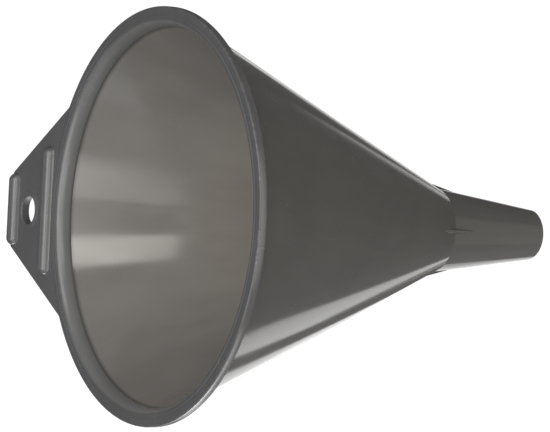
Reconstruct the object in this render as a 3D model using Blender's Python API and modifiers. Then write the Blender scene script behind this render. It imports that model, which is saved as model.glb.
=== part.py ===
"""A hand funnel, mouth up: a flanged round mouth with a hanging tab, a cone, and a tapered spout.

Units are metres and +Z is up. The origin is the centre of the spout's outlet, +Z runs along the
funnel's axis to the mouth, and +Y points to the hanging tab. The funnel is one plastic moulding. Each
named section of that moulding is its own object here, and neighbours keep a hair gap between them.
"""

import math

import bmesh
import bpy
from mathutils import Matrix

# Driving dimensions.
HEIGHT = 0.1724  # outlet to the top of the rim
MOUTH_R = 0.076  # outermost radius of the rim
CONE_TOP_R = 0.073  # cone's outer radius just under the rim
CONE_TOP_DROP = 0.002  # how far that radius lies below the rim's top
CREASE_Z = 0.0471  # height where cone and spout meet
CREASE_R = 0.01624  # outer radius there
OUTLET_R = 0.0097  # spout's outer radius at the outlet
CONE_WALL = 0.00242  # cone's wall, measured along the radius
SPOUT_WALL = 0.0018
GAP = 0.0003  # between neighbouring sections
TURN_STEPS = 64

# Rim: a flat flange with a short skirt, and a rounded lip that runs down inside it.
FLANGE_INNER_R = 0.0722
FLANGE_DEPTH = 0.003
FLANGE_ROUND = 0.0006
RIM_DEPTH = 0.0055  # rim's top to where the plain cone starts

# Spout outlet.
OUTLET_ROUND = 0.0005
OUTLET_CHAMFER = 0.0002

# Hanging tab. It tapers from its root, on the rim, to its tip.
TAB_TOP_DROP = 0.0001
TAB_THICKNESS = 0.0028
TAB_ROOT_HALF_WIDTH = 0.0401
TAB_TIP_HALF_WIDTH = 0.0146
TAB_TIP_Y = 0.1083
TAB_CORNER_R = 0.0015
TAB_ROOT_POINTS = 24

# Hole in the tab, with its thicker collar.
HOLE_Y = 0.0937
HOLE_R = 0.0054
COLLAR_WALL = 0.0015
COLLAR_RISE = 0.0005  # proud of the tab on both faces
COLLAR_ROUND = 0.0004
HOLE_STEPS = 32

# Half-round stiffening ribs on the tab: name, distance from the axis, and overall length.
TAB_RIB_R = 0.003
TAB_RIB_STEPS = 24
TAB_RIBS = (("tab_rib_inner", 0.0781, 0.0495), ("tab_rib_outer", 0.105, 0.0284))

# Thin vent ribs that bridge the crease, so that air leaves a bottle's neck: name and direction.
VENT_TOP_Z = 0.0541
VENT_BOTTOM_Z = 0.0371
VENT_THICKNESS = 0.0016
VENT_CREST = 0.0003  # flat at each end of the rib's crest, so that no corner is a knife edge
VENT_RIBS = (
    ("vent_rib_right", 0.0),
    ("vent_rib_back", math.radians(90)),
    ("vent_rib_left", math.radians(180)),
    ("vent_rib_front", math.radians(270)),
)

SHARP_ANGLE = math.radians(35)

# Linear colours and roughness of the one grey polyethylene, as each section shows it.
RIM_GREY = (0.110, 0.107, 0.114)
CONE_GREY = (0.100, 0.096, 0.092)
TAB_GREY = (0.095, 0.093, 0.100)
PLASTIC_ROUGHNESS = 0.38


def cone_outer(z):
    """The cone's outer radius at height z."""
    slope = (CONE_TOP_R - CREASE_R) / (HEIGHT - CONE_TOP_DROP - CREASE_Z)
    return CREASE_R + slope * (z - CREASE_Z)


def spout_outer(z):
    """The spout's outer radius at height z."""
    return OUTLET_R + (CREASE_R - OUTLET_R) * z / CREASE_Z


def arc(centre, radii, start, end, steps):
    """Points along an ellipse's arc in the plane of a profile, both ends included."""
    points = []
    for step in range(steps + 1):
        angle = start + (end - start) * step / steps
        points.append((centre[0] + radii[0] * math.cos(angle), centre[1] + radii[1] * math.sin(angle)))
    return points


def plastic(name, color):
    """A moulded plastic material."""
    material = bpy.data.materials.new(name + "_plastic")
    material.use_nodes = True
    shader = material.node_tree.nodes["Principled BSDF"]
    shader.inputs["Base Color"].default_value = (*color, 1.0)
    shader.inputs["Roughness"].default_value = PLASTIC_ROUGHNESS
    shader.inputs["Metallic"].default_value = 0.0
    return material


def place(name, data, parent, color):
    """Links a new object for one section into the funnel's collection."""
    obj = bpy.data.objects.new(name, data)
    obj.parent = parent
    data.materials.append(plastic(name, color))
    bpy.data.collections["Funnel"].objects.link(obj)
    return obj


def shade_round(mesh):
    """Smooth shading that keeps the creases."""
    mesh.shade_smooth()
    mesh.set_sharp_from_angle(angle=SHARP_ANGLE)


def turned_mesh(name, profile, steps, closed=True):
    """Turns a profile of (radius, height) points about Z. It runs down its outer side first."""
    count = len(profile)
    edges = [(n, n + 1) for n in range(count - 1)]
    if closed:
        edges.append((count - 1, 0))
    outline = bpy.data.meshes.new(name + "_profile")
    outline.from_pydata([(radius, 0.0, height) for radius, height in profile], edges, [])
    holder = bpy.data.objects.new(name + "_holder", outline)
    bpy.context.scene.collection.objects.link(holder)
    screw = holder.modifiers.new("Turn", "SCREW")
    screw.axis = "Z"
    screw.angle = math.tau
    screw.steps = steps
    screw.render_steps = steps
    screw.use_merge_vertices = True
    screw.merge_threshold = 0.00001
    graph = bpy.context.evaluated_depsgraph_get()
    mesh = bpy.data.meshes.new_from_object(holder.evaluated_get(graph))
    mesh.name = name
    bpy.data.objects.remove(holder)
    bpy.data.meshes.remove(outline)
    shade_round(mesh)
    return mesh


def flat_curve(name, outlines, thickness):
    """A flat plate from closed outlines of (x, y) points. The second outline is a hole."""
    curve = bpy.data.curves.new(name, "CURVE")
    curve.dimensions = "2D"
    curve.fill_mode = "BOTH"
    curve.extrude = thickness / 2
    for outline in outlines:
        spline = curve.splines.new("POLY")
        spline.points.add(len(outline) - 1)
        for point, (x, y) in zip(spline.points, outline):
            point.co = (x, y, 0.0, 1.0)
        spline.use_cyclic_u = True
    return curve


def rounded_corner(before, corner, after, radius, steps):
    """Points of the arc that rounds one corner of an outline."""
    points = []
    to_before = math.atan2(before[1] - corner[1], before[0] - corner[0])
    to_after = math.atan2(after[1] - corner[1], after[0] - corner[0])
    opening = (to_before - to_after) % math.tau
    if opening > math.pi:
        opening = math.tau - opening
        to_before, to_after = to_after, to_before
    middle = to_after + opening / 2
    reach = radius / math.sin(opening / 2)
    centre = (corner[0] + reach * math.cos(middle), corner[1] + reach * math.sin(middle))
    swing = math.pi - opening
    for step in range(steps + 1):
        angle = middle + math.pi - swing / 2 + swing * step / steps
        points.append((centre[0] + radius * math.cos(angle), centre[1] + radius * math.sin(angle)))
    if math.dist(points[0], before) > math.dist(points[-1], before):
        points.reverse()
    return points


def mouth_rim(parent):
    """The flange, its skirt and the rounded lip, down to where the plain cone starts."""
    edge_centre = (MOUTH_R - FLANGE_ROUND, HEIGHT - FLANGE_ROUND)
    outer_edge = arc(edge_centre, (FLANGE_ROUND, FLANGE_ROUND), math.radians(90), 0.0, 4)
    under_flange = HEIGHT - FLANGE_DEPTH
    foot = HEIGHT - RIM_DEPTH
    foot_inner_r = cone_outer(foot) - CONE_WALL
    lip_radii = (foot_inner_r - FLANGE_INNER_R, RIM_DEPTH)
    lip = arc((FLANGE_INNER_R, foot), lip_radii, 0.0, math.radians(90), 6)
    skirt = [(MOUTH_R, under_flange), (cone_outer(under_flange), under_flange)]
    profile = outer_edge + skirt + [(cone_outer(foot), foot)] + lip
    mesh = turned_mesh("mouth_rim", profile, TURN_STEPS)
    return place("mouth_rim", mesh, parent, RIM_GREY)


def cone_body(parent):
    """The plain cone between the rim and the crease."""
    top = HEIGHT - RIM_DEPTH - GAP
    bottom = CREASE_Z + GAP / 2
    throat_r = CREASE_R - SPOUT_WALL
    slope = (cone_outer(HEIGHT) - cone_outer(0)) / HEIGHT
    throat_z = CREASE_Z + (CONE_WALL - SPOUT_WALL) / slope
    profile = [
        (cone_outer(top), top),
        (cone_outer(bottom), bottom),
        (throat_r, bottom),
        (throat_r, throat_z),
        (cone_outer(top) - CONE_WALL, top),
    ]
    mesh = turned_mesh("cone_body", profile, TURN_STEPS)
    return place("cone_body", mesh, parent, CONE_GREY)


def spout_tube(parent):
    """The tapered spout, with a rounded outer edge at its outlet."""
    top = CREASE_Z - GAP / 2
    round_centre = (spout_outer(OUTLET_ROUND) - OUTLET_ROUND, OUTLET_ROUND)
    outlet_edge = arc(round_centre, (OUTLET_ROUND, OUTLET_ROUND), 0.0, math.radians(-90), 4)
    bore_r = OUTLET_R - SPOUT_WALL
    profile = [(spout_outer(top), top)] + outlet_edge
    profile += [(bore_r + OUTLET_CHAMFER, 0.0), (bore_r, OUTLET_CHAMFER)]
    profile += [(spout_outer(top) - SPOUT_WALL, top)]
    mesh = turned_mesh("spout_tube", profile, TURN_STEPS)
    return place("spout_tube", mesh, parent, CONE_GREY)


def hang_tab(parent):
    """The flat tab, its root hollowed to follow the rim, with room for the hole's collar."""
    root_r = MOUTH_R + GAP
    root_angle = math.acos(TAB_ROOT_HALF_WIDTH / root_r)
    root = arc((0.0, 0.0), (root_r, root_r), math.pi - root_angle, root_angle, TAB_ROOT_POINTS)
    corner = (TAB_TIP_HALF_WIDTH, TAB_TIP_Y)
    right = rounded_corner(root[-1], corner, (0.0, TAB_TIP_Y), TAB_CORNER_R, 5)
    left = [(-x, y) for x, y in reversed(right)]
    hole_r = HOLE_R + COLLAR_WALL + GAP
    hole = arc((0.0, HOLE_Y), (hole_r, hole_r), 0.0, math.tau, HOLE_STEPS)[:-1]
    curve = flat_curve("hang_tab", [root + right + left, hole], TAB_THICKNESS)
    obj = place("hang_tab", curve, parent, TAB_GREY)
    obj.location = (0.0, 0.0, HEIGHT - TAB_TOP_DROP - TAB_THICKNESS / 2)
    return obj


def hole_collar(parent):
    """The thicker ring round the hanging hole."""
    outer_r = HOLE_R + COLLAR_WALL
    top = COLLAR_RISE
    bottom = -TAB_THICKNESS - COLLAR_RISE
    outer_round = (outer_r - COLLAR_ROUND, top - COLLAR_ROUND)
    inner_round = (HOLE_R + COLLAR_ROUND, top - COLLAR_ROUND)
    radii = (COLLAR_ROUND, COLLAR_ROUND)
    profile = arc(outer_round, radii, math.radians(90), 0.0, 3)
    profile += [(outer_r, bottom), (HOLE_R, bottom)]
    profile += arc(inner_round, radii, math.radians(180), math.radians(90), 3)
    mesh = turned_mesh("hang_hole_collar", profile, HOLE_STEPS)
    obj = place("hang_hole_collar", mesh, parent, TAB_GREY)
    obj.location = (0.0, HOLE_Y, HEIGHT - TAB_TOP_DROP)
    return obj


def tab_rib(parent, name, centre_y, length):
    """A half-round rib with round ends that lies across the tab."""
    end_z = length / 2 - TAB_RIB_R
    radii = (TAB_RIB_R, TAB_RIB_R)
    profile = arc((0.0, end_z), radii, math.radians(90), 0.0, 6)
    profile += arc((0.0, -end_z), radii, 0.0, math.radians(-90), 6)
    mesh = turned_mesh(name, profile, TAB_RIB_STEPS, closed=False)
    mesh.transform(Matrix.Rotation(math.radians(90), 4, "Y"))
    body = bmesh.new()
    body.from_mesh(mesh)
    everything = body.verts[:] + body.edges[:] + body.faces[:]
    cut = bmesh.ops.bisect_plane(
        body, geom=everything, plane_co=(0, 0, GAP), plane_no=(0, 0, 1), clear_inner=True
    )
    rim = [item for item in cut["geom_cut"] if isinstance(item, bmesh.types.BMEdge)]
    bmesh.ops.holes_fill(body, edges=rim, sides=0)
    body.to_mesh(mesh)
    body.free()
    shade_round(mesh)
    obj = place(name, mesh, parent, TAB_GREY)
    obj.location = (0.0, centre_y, HEIGHT - TAB_TOP_DROP)
    return obj


def vent_rib(parent, name, direction):
    """A thin web in the corner between cone and spout, with a straight crest."""
    inner = [
        (cone_outer(VENT_TOP_Z) + GAP, VENT_TOP_Z),
        (CREASE_R + GAP, CREASE_Z),
        (spout_outer(VENT_BOTTOM_Z) + GAP, VENT_BOTTOM_Z),
    ]
    crest = [
        (spout_outer(VENT_BOTTOM_Z) + GAP + VENT_CREST, VENT_BOTTOM_Z),
        (cone_outer(VENT_TOP_Z) + GAP + VENT_CREST, VENT_TOP_Z),
    ]
    curve = flat_curve(name, [inner + crest], VENT_THICKNESS)
    obj = place(name, curve, parent, CONE_GREY)
    obj.rotation_euler = (math.radians(90), 0.0, direction)
    return obj


def main():
    for obj in list(bpy.data.objects):
        bpy.data.objects.remove(obj)
    bpy.context.scene.collection.children.link(bpy.data.collections.new("Funnel"))
    axis = bpy.data.objects.new("funnel_axis", None)
    bpy.data.collections["Funnel"].objects.link(axis)
    mouth_rim(axis)
    cone_body(axis)
    spout_tube(axis)
    hang_tab(axis)
    hole_collar(axis)
    for name, centre_y, length in TAB_RIBS:
        tab_rib(axis, name, centre_y, length)
    for name, direction in VENT_RIBS:
        vent_rib(axis, name, direction)


main()
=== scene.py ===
"""The looks of a moulded grey polyethylene funnel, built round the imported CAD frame.

Every visible piece stands for one CAD node and rides on the funnel's single body. Units are metres,
+Z runs up the funnel's axis to the mouth, and +Y points to the hanging tab.
"""
import math

import bmesh
import bpy
from mathutils import Matrix, Vector


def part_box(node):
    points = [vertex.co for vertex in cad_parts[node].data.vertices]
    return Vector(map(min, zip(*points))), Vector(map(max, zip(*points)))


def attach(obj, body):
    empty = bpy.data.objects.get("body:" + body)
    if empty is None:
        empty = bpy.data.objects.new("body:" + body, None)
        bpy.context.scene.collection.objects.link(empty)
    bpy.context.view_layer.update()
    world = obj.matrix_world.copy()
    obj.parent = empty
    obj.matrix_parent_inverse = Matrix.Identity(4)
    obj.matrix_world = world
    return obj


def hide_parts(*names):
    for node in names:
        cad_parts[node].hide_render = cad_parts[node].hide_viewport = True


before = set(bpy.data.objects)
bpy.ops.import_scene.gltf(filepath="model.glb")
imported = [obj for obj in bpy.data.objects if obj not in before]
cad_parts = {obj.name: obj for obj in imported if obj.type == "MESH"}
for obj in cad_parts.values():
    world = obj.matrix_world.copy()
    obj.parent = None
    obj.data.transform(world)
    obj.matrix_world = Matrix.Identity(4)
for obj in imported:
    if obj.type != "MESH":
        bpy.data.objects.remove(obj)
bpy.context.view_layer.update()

RIM_LOW, RIM_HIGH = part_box("mouth_rim")
CONE_LOW, CONE_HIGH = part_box("cone_body")
SPOUT_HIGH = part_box("spout_tube")[1]
TAB_LOW, TAB_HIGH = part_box("hang_tab")
COLLAR_LOW, COLLAR_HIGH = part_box("hang_hole_collar")

# The funnel's lines, read off the frame. A seam is halfway across the gap that the CAD keeps.
TOP = RIM_HIGH.z
MOUTH_R = RIM_HIGH.x
RIM_SEAM = (RIM_LOW.z + CONE_HIGH.z) / 2
CREASE_Z = (CONE_LOW.z + SPOUT_HIGH.z) / 2
CREASE_R = SPOUT_HIGH.x
CONE_SLOPE = (CONE_HIGH.x - CREASE_R) / (CONE_HIGH.z - CREASE_Z)
OUTLET_R = 0.0097
OUTLET_ROUND = 0.0006
BORE_ROUND = 0.0003
CONE_WALL = 0.00242
SPOUT_WALL = 0.0018
TURN_STEPS = 288
SHARP = math.radians(32)

# Rim section.
FLANGE_DEPTH = 0.003
FLANGE_ROUND = 0.0006
FLANGE_UNDER_ROUND = 0.0004
NECK_FILLET = 0.0006  # between the flange's underside and the cone
LIP_CREST_R = 0.0721
GROOVE_R = 0.0728
GROOVE_DEPTH = 0.00012
GROOVE_HALF_WIDTH = 0.0004

# Tab, with the part of its root that is sunk into the flange.
TAB_EDGE_ROUND = 0.0006
TAB_ROOT_X = 0.0401
TAB_TIP_X = 0.0146
TAB_CORNER_R = 0.0015
TAB_ROOT_FILLET = 0.006
TAB_ROOT_SUNK = 0.0020
HOLE_Y = (COLLAR_LOW.y + COLLAR_HIGH.y) / 2
HOLE_R = 0.0054

# Collar. Each width is measured outwards from the hole's edge.
COLLAR_FOOT = 0.0026
COLLAR_CORE = 0.0011
COLLAR_CROWN = 0.0008
COLLAR_SUNK = 0.00003
COLLAR_INSET = 0.0006  # the collar's buried core, in from each face of the tab
TAB_BORE = 0.0014

# Ribs on the tab: the fillet at the foot of each, and how deep they go into the tab.
INNER_RIB_FOOT = 0.0005
OUTER_RIB_FOOT = 0.0002
RIB_SUNK = 0.0003
RIB_FOOT_SUNK = 0.00004

# Vent ribs: the crest stays a little below the straight line between its ends, the web widens with
# its height, and its section is fuller than a plain bump.
VENT_FILL = 0.92
VENT_EDGE_HALF_WIDTH = 0.0007
VENT_SPREAD = 0.22
VENT_FULLNESS = 1.35
VENT_SUNK = 0.00008
VENT_ROOT = 0.0006


# ---------------------------------------------------------------- mesh helpers
def new_object(name, mesh):
    obj = bpy.data.objects.new(name, mesh)
    bpy.context.scene.collection.objects.link(obj)
    return obj


def mesh_from(name, points, faces):
    """A mesh with outward faces, smooth but for its creases."""
    mesh = bpy.data.meshes.new(name)
    mesh.from_pydata(points, [], faces)
    body = bmesh.new()
    body.from_mesh(mesh)
    bmesh.ops.remove_doubles(body, verts=body.verts, dist=1e-7)
    bmesh.ops.recalc_face_normals(body, faces=body.faces)
    body.to_mesh(mesh)
    body.free()
    mesh.shade_smooth()
    mesh.set_sharp_from_angle(angle=SHARP)
    return mesh


def arc(centre, radii, start, end, steps):
    """Points along an ellipse's arc, both ends included. Angles are in degrees."""
    points = []
    for step in range(steps + 1):
        angle = math.radians(start + (end - start) * step / steps)
        points.append((centre[0] + radii[0] * math.cos(angle), centre[1] + radii[1] * math.sin(angle)))
    return points


def straight(start, end, steps):
    """Points strictly between two profile points."""
    points = []
    for step in range(1, steps):
        part = step / steps
        points.append(tuple(a + (b - a) * part for a, b in zip(start, end)))
    return points


def turned(name, profile, steps=TURN_STEPS, centre=(0.0, 0.0)):
    """A closed profile of (radius, height) points turned about the Z axis through centre."""
    points = []
    faces = []
    count = len(profile)
    for step in range(steps):
        angle = math.tau * step / steps
        for radius, height in profile:
            x = centre[0] + radius * math.cos(angle)
            y = centre[1] + radius * math.sin(angle)
            points.append((x, y, height))
    for step in range(steps):
        this = step * count
        following = (step + 1) % steps * count
        for n in range(count):
            m = (n + 1) % count
            faces.append((this + n, this + m, following + m, following + n))
    return new_object(name, mesh_from(name, points, faces))


def cone_outer(z):
    return CREASE_R + CONE_SLOPE * (z - CREASE_Z)


def spout_outer(z):
    return OUTLET_R + (CREASE_R - OUTLET_R) * z / CREASE_Z


def wall_outer(z):
    """The funnel's outer radius, cone or spout, whichever is the wider there."""
    return max(cone_outer(z), spout_outer(z))


# ---------------------------------------------------------------- turned pieces
def rim_moulding():
    """A flat flange with a short skirt, a fine groove, and a rounded lip that runs down into the cone."""
    edge = arc((MOUTH_R - FLANGE_ROUND, TOP - FLANGE_ROUND), (FLANGE_ROUND, FLANGE_ROUND), 90, 0, 8)
    under = TOP - FLANGE_DEPTH
    under_centre = (MOUTH_R - FLANGE_UNDER_ROUND, under + FLANGE_UNDER_ROUND)
    under_edge = arc(under_centre, (FLANGE_UNDER_ROUND, FLANGE_UNDER_ROUND), 0, -90, 5)
    neck = cone_outer(under - NECK_FILLET)
    fillet = arc((neck + NECK_FILLET, under - NECK_FILLET), (NECK_FILLET, NECK_FILLET), 90, 180, 5)
    outer = edge + under_edge + fillet + [(cone_outer(RIM_SEAM), RIM_SEAM)]
    foot_r = cone_outer(RIM_SEAM) - CONE_WALL
    lip = arc((LIP_CREST_R, RIM_SEAM), (foot_r - LIP_CREST_R, TOP - RIM_SEAM), 0, 90, 16)
    groove = []
    for step in range(-3, 4):
        across = step / 3
        groove.append((GROOVE_R + GROOVE_HALF_WIDTH * across, TOP - GROOVE_DEPTH * (1 - across**2)))
    flat = straight(groove[-1], edge[0], 6)
    return turned("rim_moulding", outer + lip + groove + flat)


def cone_moulding():
    """Both walls of the cone."""
    outer_top = (cone_outer(RIM_SEAM), RIM_SEAM)
    inner_top = (cone_outer(RIM_SEAM) - CONE_WALL, RIM_SEAM)
    outer_foot = (CREASE_R, CREASE_Z)
    throat_r = CREASE_R - SPOUT_WALL
    throat_z = CREASE_Z + (CONE_WALL - SPOUT_WALL) / CONE_SLOPE
    profile = [outer_top] + straight(outer_top, outer_foot, 12) + [outer_foot]
    profile += [(throat_r, CREASE_Z), (throat_r, throat_z)]
    profile += straight((throat_r, throat_z), inner_top, 12) + [inner_top]
    return turned("cone_moulding", profile)


def spout_moulding():
    """The tapered spout with a softly rounded outlet."""
    bore = OUTLET_R - SPOUT_WALL
    outer_top = (CREASE_R, CREASE_Z)
    inner_top = (CREASE_R - SPOUT_WALL, CREASE_Z)
    tip_centre = (spout_outer(OUTLET_ROUND) - OUTLET_ROUND, OUTLET_ROUND)
    tip = arc(tip_centre, (OUTLET_ROUND, OUTLET_ROUND), 0, -90, 6)
    mouth = arc((bore + BORE_ROUND, BORE_ROUND), (BORE_ROUND, BORE_ROUND), -90, -180, 4)
    profile = [outer_top] + straight(outer_top, tip[0], 8) + tip + mouth
    profile += straight(mouth[-1], inner_top, 8) + [inner_top]
    return turned("spout_moulding", profile)


def collar_moulding():
    """The thicker ring round the hanging hole, which swells softly out of both faces of the tab."""
    rise = COLLAR_HIGH.z
    drop = COLLAR_LOW.z
    foot_r = HOLE_R + COLLAR_FOOT
    core_r = HOLE_R + COLLAR_CORE
    top_foot = TAB_HIGH.z - COLLAR_SUNK
    low_foot = TAB_LOW.z + COLLAR_SUNK
    top = []
    low = []
    for step in range(9):
        part = step / 8
        swell = part * part * (3 - 2 * part)
        radius = foot_r + (core_r - foot_r) * part
        top.append((radius, top_foot + (rise - top_foot) * swell))
        low.append((radius, low_foot + (drop - low_foot) * swell))
    radii = (COLLAR_CROWN, COLLAR_CROWN)
    crown = arc((HOLE_R + COLLAR_CROWN, rise - COLLAR_CROWN), radii, 90, 180, 8)
    low_crown = arc((HOLE_R + COLLAR_CROWN, drop + COLLAR_CROWN), radii, 180, 270, 8)
    inside = [(core_r, TAB_LOW.z + COLLAR_INSET), (core_r, TAB_HIGH.z - COLLAR_INSET)]
    profile = top + crown + low_crown + low[::-1] + inside
    return turned("hole_collar_moulding", profile, steps=96, centre=(0.0, HOLE_Y))


# ---------------------------------------------------------------- the tab
def tab_outline():
    """The right half of the tab's outline: fillet off the rim, straight side, round corner."""
    start = Vector((TAB_ROOT_X, math.sqrt(MOUTH_R**2 - TAB_ROOT_X**2)))
    corner = Vector((TAB_TIP_X, TAB_HIGH.y))
    along = (corner - start).normalized()
    outward = Vector((along.y, -along.x))
    # The fillet's centre lies off the side by its radius, and off the rim's circle by its radius.
    base = start + outward * TAB_ROOT_FILLET
    half_b = base.dot(along)
    excess = base.length_squared - (MOUTH_R + TAB_ROOT_FILLET) ** 2
    spread = math.sqrt(max(half_b**2 - excess, 0.0))
    reach = min(-half_b - spread, -half_b + spread, key=abs)
    centre = base + along * reach
    touch_rim = centre * (MOUTH_R / centre.length)
    touch_side = centre - outward * TAB_ROOT_FILLET
    start_angle = math.degrees(math.atan2(*(touch_rim - centre).yx))
    end_angle = math.degrees(math.atan2(*(touch_side - centre).yx))
    if end_angle - start_angle > 180:
        end_angle -= 360
    if start_angle - end_angle > 180:
        start_angle -= 360
    radii = (TAB_ROOT_FILLET, TAB_ROOT_FILLET)
    fillet = arc(centre, radii, start_angle, end_angle, 10)
    opening = math.pi - math.atan2(along.y, -along.x)
    inset = TAB_CORNER_R / math.tan(opening / 2)
    round_centre = Vector((corner.x - inset, corner.y - TAB_CORNER_R))
    first = math.degrees(math.atan2(outward.y, outward.x))
    tip_round = arc(round_centre, (TAB_CORNER_R, TAB_CORNER_R), first, 90, 10)
    return fillet + tip_round


def tab_moulding():
    """The flat tab, its root sunk into the flange, with softly rounded edges and a bore for the collar."""
    right = tab_outline()
    root_r = MOUTH_R - TAB_ROOT_SUNK
    root_edge = math.degrees(math.atan2(right[0][1], right[0][0]))
    root = arc((0, 0), (root_r, root_r), 180 - root_edge, root_edge, 48)
    outline = root + right + [(-x, y) for x, y in reversed(right)]
    bore_r = HOLE_R + TAB_BORE
    bore = arc((0, HOLE_Y), (bore_r, bore_r), 0, 360, 96)[:-1]
    curve = bpy.data.curves.new("tab_outline", "CURVE")
    curve.dimensions = "2D"
    curve.fill_mode = "BOTH"
    curve.extrude = (TAB_HIGH.z - TAB_LOW.z) / 2 - TAB_EDGE_ROUND
    curve.bevel_depth = TAB_EDGE_ROUND
    curve.bevel_resolution = 4
    curve.offset = -TAB_EDGE_ROUND
    for points in (outline, bore):
        spline = curve.splines.new("POLY")
        spline.points.add(len(points) - 1)
        for point, (x, y) in zip(spline.points, points):
            point.co = (x, y, 0.0, 1.0)
        spline.use_cyclic_u = True
    holder = new_object("tab_outline", curve)
    graph = bpy.context.evaluated_depsgraph_get()
    mesh = bpy.data.meshes.new_from_object(holder.evaluated_get(graph))
    bpy.data.objects.remove(holder)
    mesh.name = "tab_moulding"
    mesh.transform(Matrix.Translation((0, 0, (TAB_HIGH.z + TAB_LOW.z) / 2)))
    body = bmesh.new()
    body.from_mesh(mesh)
    bmesh.ops.remove_doubles(body, verts=body.verts, dist=2e-6)
    bmesh.ops.recalc_face_normals(body, faces=body.faces)
    body.to_mesh(mesh)
    body.free()
    mesh.shade_smooth()
    obj = new_object("tab_moulding", mesh)
    normals = obj.modifiers.new("Even normals", "WEIGHTED_NORMAL")
    normals.weight = 100
    return obj


def tab_rib(name, node, foot):
    """A half-round rib with round ends. foot is the width of the fillet that blends it into the tab."""
    low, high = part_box(node)
    half_width = (high.y - low.y) / 2
    height = high.z - TAB_HIGH.z
    centre_y = (low.y + high.y) / 2
    half_run = (high.x - low.x) / 2 - half_width
    foot_z = TAB_HIGH.z - RIB_FOOT_SUNK
    section = []
    for distance, rise in arc((0, 0), (half_width, height), 90, 12, 12):
        section.append((distance, TAB_HIGH.z + rise))
    edge_distance, edge_z = section[-1]
    for step in range(1, 5):
        part = step / 4
        drop = (edge_z - foot_z) * (1 - part) ** 2
        section.append((edge_distance + foot * part, foot_z + drop))
    section.append((section[-1][0], TAB_HIGH.z - RIB_SUNK))
    turns = 64
    points = []
    faces = []
    for distance, z in section:
        for turn in range(turns):
            angle = math.tau * (turn + 0.5) / turns
            end = half_run if math.cos(angle) > 0 else -half_run
            points.append((end + distance * math.cos(angle), centre_y + distance * math.sin(angle), z))
    for ring in range(len(section) - 1):
        for turn in range(turns):
            after = (turn + 1) % turns
            this = ring * turns
            faces.append((this + turn, this + after, this + turns + after, this + turns + turn))
    last = (len(section) - 1) * turns
    faces.append(tuple(range(last, last + turns)))
    return new_object(name, mesh_from(name, points, faces))


def vent_rib(name, node, direction):
    """A thin web across the crease. It fades into the wall at both ends and on both sides."""
    low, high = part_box(node)
    top, bottom = high.z, low.z
    rows, columns = 44, 16
    outer = []
    inner = []
    for row in range(rows + 1):
        part = row / rows
        z = bottom + (top - bottom) * part
        wall = wall_outer(z)
        crest = wall_outer(bottom) + (wall_outer(top) - wall_outer(bottom)) * part
        rise = VENT_FILL * (crest - wall)
        half_width = VENT_EDGE_HALF_WIDTH + VENT_SPREAD * rise
        for column in range(columns + 1):
            across = -1 + 2 * column / columns
            swell = min(1.0, VENT_FULLNESS * (1 - across**2) ** 1.5)
            side = across * half_width
            base = math.sqrt(wall**2 - side**2) - VENT_SUNK
            outer.append((base + (rise + VENT_SUNK) * swell, side, z))
            inner.append((base - VENT_ROOT, side, z))
    points = outer + inner
    faces = []
    width = columns + 1
    shift = len(outer)
    for row in range(rows):
        for column in range(columns):
            a = row * width + column
            quad = (a, a + 1, a + width + 1, a + width)
            faces.append(quad)
            faces.append(tuple(n + shift for n in reversed(quad)))
    border = [(n, n + 1) for n in range(columns)]
    border += [(n * width + columns, (n + 1) * width + columns) for n in range(rows)]
    border += [(rows * width + n + 1, rows * width + n) for n in reversed(range(columns))]
    border += [((n + 1) * width, n * width) for n in reversed(range(rows))]
    for a, b in border:
        faces.append((b, a, a + shift, b + shift))
    turn = Matrix.Rotation(math.radians(direction), 3, "Z")
    points = [tuple(turn @ Vector(point)) for point in points]
    return new_object(name, mesh_from(name, points, faces))


# ---------------------------------------------------------------- material
# Linear colours of the one grey plastic, as the cone and the rim show it outside and inside. The inside
# colours are painted light: lighter than the outside colours, for the light that fills the bowl.
CONE_OUTSIDE = (0.079, 0.078, 0.076)
CONE_INSIDE_LIT = (0.157, 0.147, 0.136)
RIM_OUTSIDE = (0.076, 0.075, 0.078)
RIM_INSIDE_LIT = (0.134, 0.133, 0.132)

# Painted light inside the bowl and the spout: a warmer, lighter colour, full below the first height and
# faded out by the second.
THROAT_GLOW = (0.198, 0.182, 0.159, 1.0)
GLOW_FULL_Z = 0.103
GLOW_GONE_Z = 0.137

SCRATCH = (0.20, 0.20, 0.20, 1.0)
WEAR = (0.12, 0.12, 0.12, 1.0)
DUST = (0.045, 0.043, 0.040, 1.0)
# Painted shade: the colour of a dark band in the crease under the lip, and the band's half width.
CREASE_SHADE = (0.045, 0.043, 0.040, 1.0)
CREASE_SHADE_HALF_WIDTH = 0.0013

# Where edges are worn: in from the flange's edge, down from its top, and up from the spout's tip.
# Each pair is where the wear ends and where it is full.
FLANGE_WEAR_IN = (0.0010, 0.0003)
FLANGE_WEAR_DOWN = (0.0012, 0.0004)
TIP_WEAR_UP = (0.0022, 0.0003)
FLANGE_WEAR_PAST = 0.0002

POLISHED = 0.12
SATIN = 0.24
MATT = 0.42
POLYETHYLENE_IOR = 1.5


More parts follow.
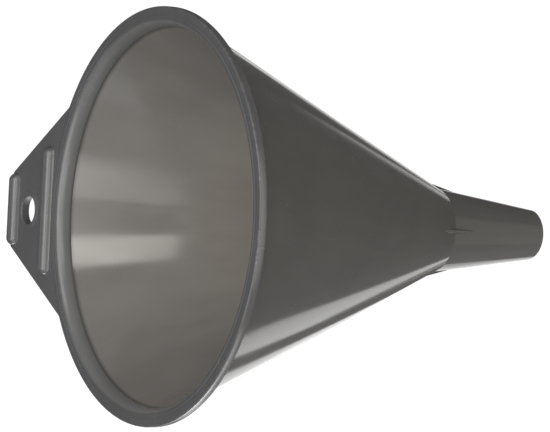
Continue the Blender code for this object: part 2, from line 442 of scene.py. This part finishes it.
class Graph:
    """A material's nodes, with one short call for each kind that the plastic needs."""

    def __init__(self, name):
        self.material = bpy.data.materials.new(name)
        self.material.use_nodes = True
        self.tree = self.material.node_tree
        self.shader = self.tree.nodes["Principled BSDF"]
        self.place = self.tree.nodes.new("ShaderNodeTexCoord").outputs["Object"]
        self.normal = self.tree.nodes.new("ShaderNodeNewGeometry").outputs["Normal"]

    def put(self, socket, value):
        """Sets an input to a value, or links it to another node's output."""
        if isinstance(value, bpy.types.NodeSocket):
            self.tree.links.new(value, socket)
        else:
            socket.default_value = value

    def noise(self, vector, scale, detail=2.0, roughness=0.5):
        texture = self.tree.nodes.new("ShaderNodeTexNoise")
        self.put(texture.inputs["Vector"], vector)
        texture.inputs["Scale"].default_value = scale
        texture.inputs["Detail"].default_value = detail
        texture.inputs["Roughness"].default_value = roughness
        return texture.outputs["Fac"]

    def vector(self, operation, first, second=(0.0, 0.0, 0.0), output="Vector"):
        maths = self.tree.nodes.new("ShaderNodeVectorMath")
        maths.operation = operation
        self.put(maths.inputs[0], first)
        self.put(maths.inputs[1], second)
        return maths.outputs[output]

    def math(self, operation, first, second):
        maths = self.tree.nodes.new("ShaderNodeMath")
        maths.operation = operation
        self.put(maths.inputs[0], first)
        self.put(maths.inputs[1], second)
        return maths.outputs["Value"]

    def spread(self, value, low, high, to_low, to_high):
        """Maps low..high to to_low..to_high, softly, and holds the ends."""
        mapping = self.tree.nodes.new("ShaderNodeMapRange")
        mapping.interpolation_type = "SMOOTHSTEP"
        for socket, number in zip(list(mapping.inputs)[:5], (value, low, high, to_low, to_high)):
            self.put(socket, number)
        return mapping.outputs["Result"]

    def blend(self, amount, first, second):
        """Blends two colours."""
        mixer = self.tree.nodes.new("ShaderNodeMix")
        mixer.data_type = "RGBA"
        self.put(mixer.inputs["Factor"], amount)
        for socket, color in ((mixer.inputs[6], first), (mixer.inputs[7], second)):
            self.put(socket, color)
        return mixer.outputs[2]


def worn_edges(graph):
    """One on the flange's outer edge and round the spout's tip, broken up by noise, and zero elsewhere."""
    radius = graph.vector("LENGTH", graph.vector("MULTIPLY", graph.place, (1.0, 1.0, 0.0)), output="Value")
    height = graph.vector("DOT_PRODUCT", graph.place, (0.0, 0.0, 1.0), output="Value")
    flange = graph.spread(radius, MOUTH_R - FLANGE_WEAR_IN[0], MOUTH_R - FLANGE_WEAR_IN[1], 0.0, 1.0)
    off_flange = graph.spread(radius, MOUTH_R, MOUTH_R + FLANGE_WEAR_PAST, 1.0, 0.0)
    near_top = graph.spread(height, TOP - FLANGE_WEAR_DOWN[0], TOP - FLANGE_WEAR_DOWN[1], 0.0, 1.0)
    flange = graph.math("MULTIPLY", graph.math("MULTIPLY", flange, off_flange), near_top)
    tip = graph.spread(height, TIP_WEAR_UP[1], TIP_WEAR_UP[0], 1.0, 0.0)
    broken = graph.spread(graph.noise(graph.place, 300.0, 3.0), 0.36, 0.70, 0.0, 1.0)
    return graph.math("MULTIPLY", graph.math("MAXIMUM", flange, tip), broken)


def polyethylene(name, outside, inside, roughness):
    """Moulded polyethylene: clouded colour, faint flow streaks, fine grain, scuffs and dust.

    The faces that look towards the axis take the inside colour, which is painted light: lighter than
    the outside, and warmer and lighter still towards the throat. A dark band in the crease under the lip
    is painted shade.
    """
    graph = Graph(name)
    place = graph.place

    # Streaks left by the flow of the plastic, drawn out between the spout and the rim.
    around = graph.vector("NORMALIZE", graph.vector("MULTIPLY", place, (1.0, 1.0, 0.0)))
    along = graph.vector("MULTIPLY", place, (0.0, 0.0, 6.0))
    streaks = graph.noise(graph.vector("ADD", around, along), 9.0, 4.0, 0.6)
    clouds = graph.noise(place, 26.0, 3.0, 0.55)
    grain = graph.noise(place, 1500.0, 2.0, 0.6)
    ripples = graph.noise(place, 120.0, 2.0, 0.5)

    # Fine scratches in two directions, kept to worn patches.
    patches = graph.spread(graph.noise(place, 34.0, 3.0, 0.6), 0.54, 0.74, 0.0, 1.0)
    one_way = graph.noise(graph.vector("MULTIPLY", place, (1700.0, 60.0, 90.0)), 1.0, 2.0, 0.5)
    other_way = graph.noise(graph.vector("MULTIPLY", place, (70.0, 1500.0, 200.0)), 1.0, 2.0, 0.5)
    scratches = graph.spread(graph.math("MAXIMUM", one_way, other_way), 0.66, 0.76, 0.0, 1.0)
    scratches = graph.math("MULTIPLY", scratches, patches)

    # Sparse specks of dust.
    cells = graph.tree.nodes.new("ShaderNodeTexVoronoi")
    graph.put(cells.inputs["Vector"], place)
    cells.inputs["Scale"].default_value = 420.0
    specks = graph.spread(cells.outputs["Distance"], 0.07, 0.12, 1.0, 0.0)
    specks = graph.math("MULTIPLY", specks, graph.spread(graph.noise(place, 90.0), 0.56, 0.62, 0.0, 1.0))

    wear = worn_edges(graph)
    facing_axis = graph.vector("DOT_PRODUCT", around, graph.normal, output="Value")
    # Painted light: the faces that look towards the axis take the lighter inside colour.
    inner_faces = graph.spread(facing_axis, -0.75, -0.35, 1.0, 0.0)
    tone = graph.math("ADD", graph.math("MULTIPLY", clouds, 0.6), graph.math("MULTIPLY", streaks, 0.4))
    base = graph.blend(inner_faces, (*outside, 1.0), (*inside, 1.0))
    height = graph.vector("DOT_PRODUCT", place, (0.0, 0.0, 1.0), output="Value")
    # Painted light: a warm, lighter colour on the inside faces, fullest towards the throat.
    throat_glow = graph.math("MULTIPLY", inner_faces, graph.spread(height, GLOW_FULL_Z, GLOW_GONE_Z, 1.0, 0.0))
    base = graph.blend(throat_glow, base, THROAT_GLOW)
    # Painted shade: a dark band on the inside faces along the seam under the lip.
    off_seam = graph.math("ABSOLUTE", graph.math("SUBTRACT", height, RIM_SEAM), 0.0)
    crease_shade = graph.math("MULTIPLY", inner_faces, graph.spread(off_seam, 0.0, CREASE_SHADE_HALF_WIDTH, 0.6, 0.0))
    base = graph.blend(crease_shade, base, CREASE_SHADE)
    base = graph.vector("MULTIPLY", base, graph.spread(tone, 0.34, 0.66, 0.94, 1.06))
    base = graph.blend(graph.math("MULTIPLY", scratches, 0.25), base, SCRATCH)
    base = graph.blend(graph.math("MULTIPLY", wear, 0.20), base, WEAR)
    base = graph.blend(graph.math("MULTIPLY", specks, 0.7), base, DUST)
    graph.put(graph.shader.inputs["Base Color"], base)

    gloss = graph.spread(streaks, 0.3, 0.7, roughness - 0.01, roughness + 0.02)
    gloss = graph.math("ADD", gloss, graph.spread(clouds, 0.3, 0.7, -0.01, 0.02))
    gloss = graph.math("ADD", gloss, graph.math("MULTIPLY", scratches, 0.12))
    gloss = graph.math("ADD", gloss, graph.math("MULTIPLY", wear, 0.03))
    gloss = graph.math("ADD", gloss, graph.math("MULTIPLY", specks, 0.25))
    graph.put(graph.shader.inputs["Roughness"], gloss)
    graph.shader.inputs["IOR"].default_value = POLYETHYLENE_IOR

    relief = graph.math("ADD", graph.math("MULTIPLY", ripples, 0.20), graph.math("MULTIPLY", grain, 0.08))
    relief = graph.math("ADD", relief, graph.math("MULTIPLY", streaks, 0.20))
    relief = graph.math("SUBTRACT", relief, graph.math("MULTIPLY", scratches, 0.06))
    bump = graph.tree.nodes.new("ShaderNodeBump")
    bump.inputs["Strength"].default_value = 0.3
    bump.inputs["Distance"].default_value = 0.0001
    graph.put(bump.inputs["Height"], relief)
    graph.put(graph.shader.inputs["Normal"], bump.outputs["Normal"])
    return graph.material


def dress(obj, material, node):
    """Gives a piece its material and its place on the body, and hides the CAD node it stands for."""
    obj.data.materials.clear()
    obj.data.materials.append(material)
    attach(obj, "root")
    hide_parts(node)


# ---------------------------------------------------------------- stage, lights and camera
FLOOR_Z = -0.0006
BACKDROP_R = 6.0
BACKDROP_GLOW = 1.05


def stage():
    """A pale floor under the funnel and a pale dome round it, seen by the camera only."""
    bpy.ops.mesh.primitive_plane_add(size=2 * BACKDROP_R, location=(0, 0, FLOOR_Z))
    floor = bpy.context.object
    floor.name = "floor"
    bpy.ops.mesh.primitive_uv_sphere_add(radius=BACKDROP_R, segments=48, ring_count=24)
    dome = bpy.context.object
    dome.name = "backdrop"
    for obj in (floor, dome):
        material = bpy.data.materials.new(obj.name)
        material.use_nodes = True
        tree = material.node_tree
        tree.nodes.clear()
        glow = tree.nodes.new("ShaderNodeEmission")
        glow.inputs["Strength"].default_value = BACKDROP_GLOW
        out = tree.nodes.new("ShaderNodeOutputMaterial")
        tree.links.new(glow.outputs[0], out.inputs["Surface"])
        obj.data.materials.append(material)
        obj.visible_diffuse = False
        obj.visible_glossy = False
        obj.visible_transmission = False
        obj.visible_shadow = False


LIGHTS_AIM = Vector((0.0, 0.0, 0.12))
LIGHTS_DISTANCE = 2.0


def direction(azimuth, elevation):
    """A unit vector. Azimuth is from +X towards +Y."""
    a, e = math.radians(azimuth), math.radians(elevation)
    return Vector((math.cos(a) * math.cos(e), math.sin(a) * math.cos(e), math.sin(e)))


WARM = (1.0, 0.95, 0.87)
NEUTRAL = (1.0, 1.0, 1.0)
COOL = (0.88, 0.97, 1.0)
AMBIENT = (0.115, 0.113, 0.108)

# The studio round the funnel. Each light is described as the funnel sees it: the direction of its
# centre, how wide and how high it looks (all in degrees), its radiance and its colour.
STUDIO = (
    # The main light: windows in front of the mouth and above it, higher than what the bowl mirrors.
    ("key", -92, 31, 64, 16, 2.5, NEUTRAL),
    ("overhead_left", -128, 56, 44, 38, 3.0, NEUTRAL),
    ("overhead_right", -50, 56, 44, 38, 3.0, NEUTRAL),
    ("overhead_back", 90, 58, 60, 24, 0.8, COOL),
    # Low fills that the sides of the bowl mirror, and the two bright patches at its back.
    ("fill_left", -148, 13, 66, 17, 0.40, NEUTRAL),
    ("fill_right", -14, 13, 66, 17, 0.35, NEUTRAL),
    ("bowl_strip", -66, 21.7, 18, 5.4, 6.5, WARM),
    ("bowl_window", -110, 23.5, 20, 7, 2.3, WARM),
    # Tall cards on the left, the bright bands along the cone's lower edge.
    ("left_card", 163, -12, 30, 30, 8.9, NEUTRAL),
    ("left_front_card", 195, -15, 30, 30, 3.9, NEUTRAL),
    ("left_back_card", 140, -25, 20, 30, 1.1, NEUTRAL),
    ("left_high_card", 180, 18, 34, 26, 0.4, COOL),
    ("left_low_strip", 142, -56, 13, 9, 1.7, NEUTRAL),
    ("spout_strip", 137, -42.5, 52, 7, 1.3, NEUTRAL),
    # The pale sweep behind and below, caught mostly at a glancing angle.
    ("sweep_behind", 95, -32, 26, 14, 0.9, NEUTRAL),
    ("sweep_right", 79, -45, 16, 20, 0.9, NEUTRAL),
    ("sweep_low_right", 62, -54, 15, 8, 0.7, NEUTRAL),
    ("sweep_below", 90, -66, 40, 22, 0.86, WARM),
    ("sweep_front", -90, -20, 60, 30, 2.6, WARM),
    ("sweep_low_front", -90, -60, 50, 30, 0.3, WARM),
)


def softbox(name, azimuth, elevation, width, height, radiance, color):
    """An area light aimed at the funnel. Only the funnel sees it, not the camera."""
    data = bpy.data.lights.new(name, "AREA")
    data.shape = "RECTANGLE"
    data.size = 2 * LIGHTS_DISTANCE * math.tan(math.radians(width / 2))
    data.size_y = 2 * LIGHTS_DISTANCE * math.tan(math.radians(height / 2))
    data.energy = radiance * math.pi * data.size * data.size_y
    data.color = color
    obj = bpy.data.objects.new(name, data)
    bpy.context.scene.collection.objects.link(obj)
    toward = direction(azimuth, elevation)
    obj.location = LIGHTS_AIM + toward * LIGHTS_DISTANCE
    obj.rotation_euler = toward.to_track_quat("Z", "Y").to_euler()
    obj.visible_camera = False


CAMERA_AIM = Vector((0.00236, 0, 0.1183))
CAMERA_DISTANCE = 1.064
CAMERA_ELEVATION = math.radians(32.32)
CAMERA_ROLL = math.radians(-87.16)
CAMERA_LENS = 187.7


def camera():
    """The studio camera: above the mouth, opposite the tab, rolled so that the spout points right."""
    back = Vector((0, -math.cos(CAMERA_ELEVATION), math.sin(CAMERA_ELEVATION)))
    level = Vector((1, 0, 0))
    upright = back.cross(level)
    right = level * math.cos(CAMERA_ROLL) + upright * math.sin(CAMERA_ROLL)
    up = upright * math.cos(CAMERA_ROLL) - level * math.sin(CAMERA_ROLL)
    data = bpy.data.cameras.new("camera")
    data.lens = CAMERA_LENS
    data.sensor_width = 36.0
    data.clip_end = 50.0
    obj = bpy.data.objects.new("camera", data)
    bpy.context.scene.collection.objects.link(obj)
    place = Matrix((right, up, back)).transposed().to_4x4()
    place.translation = CAMERA_AIM + back * CAMERA_DISTANCE
    obj.matrix_world = place
    bpy.context.scene.camera = obj


def main():
    camera()
    stage()
    polished = polyethylene("grey_polyethylene_polished", CONE_OUTSIDE, CONE_INSIDE_LIT, POLISHED)
    satin = polyethylene("grey_polyethylene_satin", RIM_OUTSIDE, RIM_INSIDE_LIT, SATIN)
    matt = polyethylene("grey_polyethylene_matt", RIM_OUTSIDE, RIM_OUTSIDE, MATT)
    dress(rim_moulding(), satin, "mouth_rim")
    dress(cone_moulding(), polished, "cone_body")
    dress(spout_moulding(), polished, "spout_tube")
    dress(collar_moulding(), matt, "hang_hole_collar")
    dress(tab_moulding(), matt, "hang_tab")
    for node, foot in (("tab_rib_inner", INNER_RIB_FOOT), ("tab_rib_outer", OUTER_RIB_FOOT)):
        dress(tab_rib(node + "_moulding", node, foot), satin, node)
    for side, turn in (("right", 0), ("back", 90), ("left", 180), ("front", 270)):
        node = "vent_rib_" + side
        dress(vent_rib(node + "_moulding", node, turn), polished, node)
    for light in STUDIO:
        softbox(*light)
    world = bpy.data.worlds.new("studio")
    bpy.context.scene.world = world
    world.use_nodes = True
    world.node_tree.nodes["Background"].inputs["Color"].default_value = (*AMBIENT, 1)
    bpy.context.scene.view_settings.view_transform = "Standard"


main()
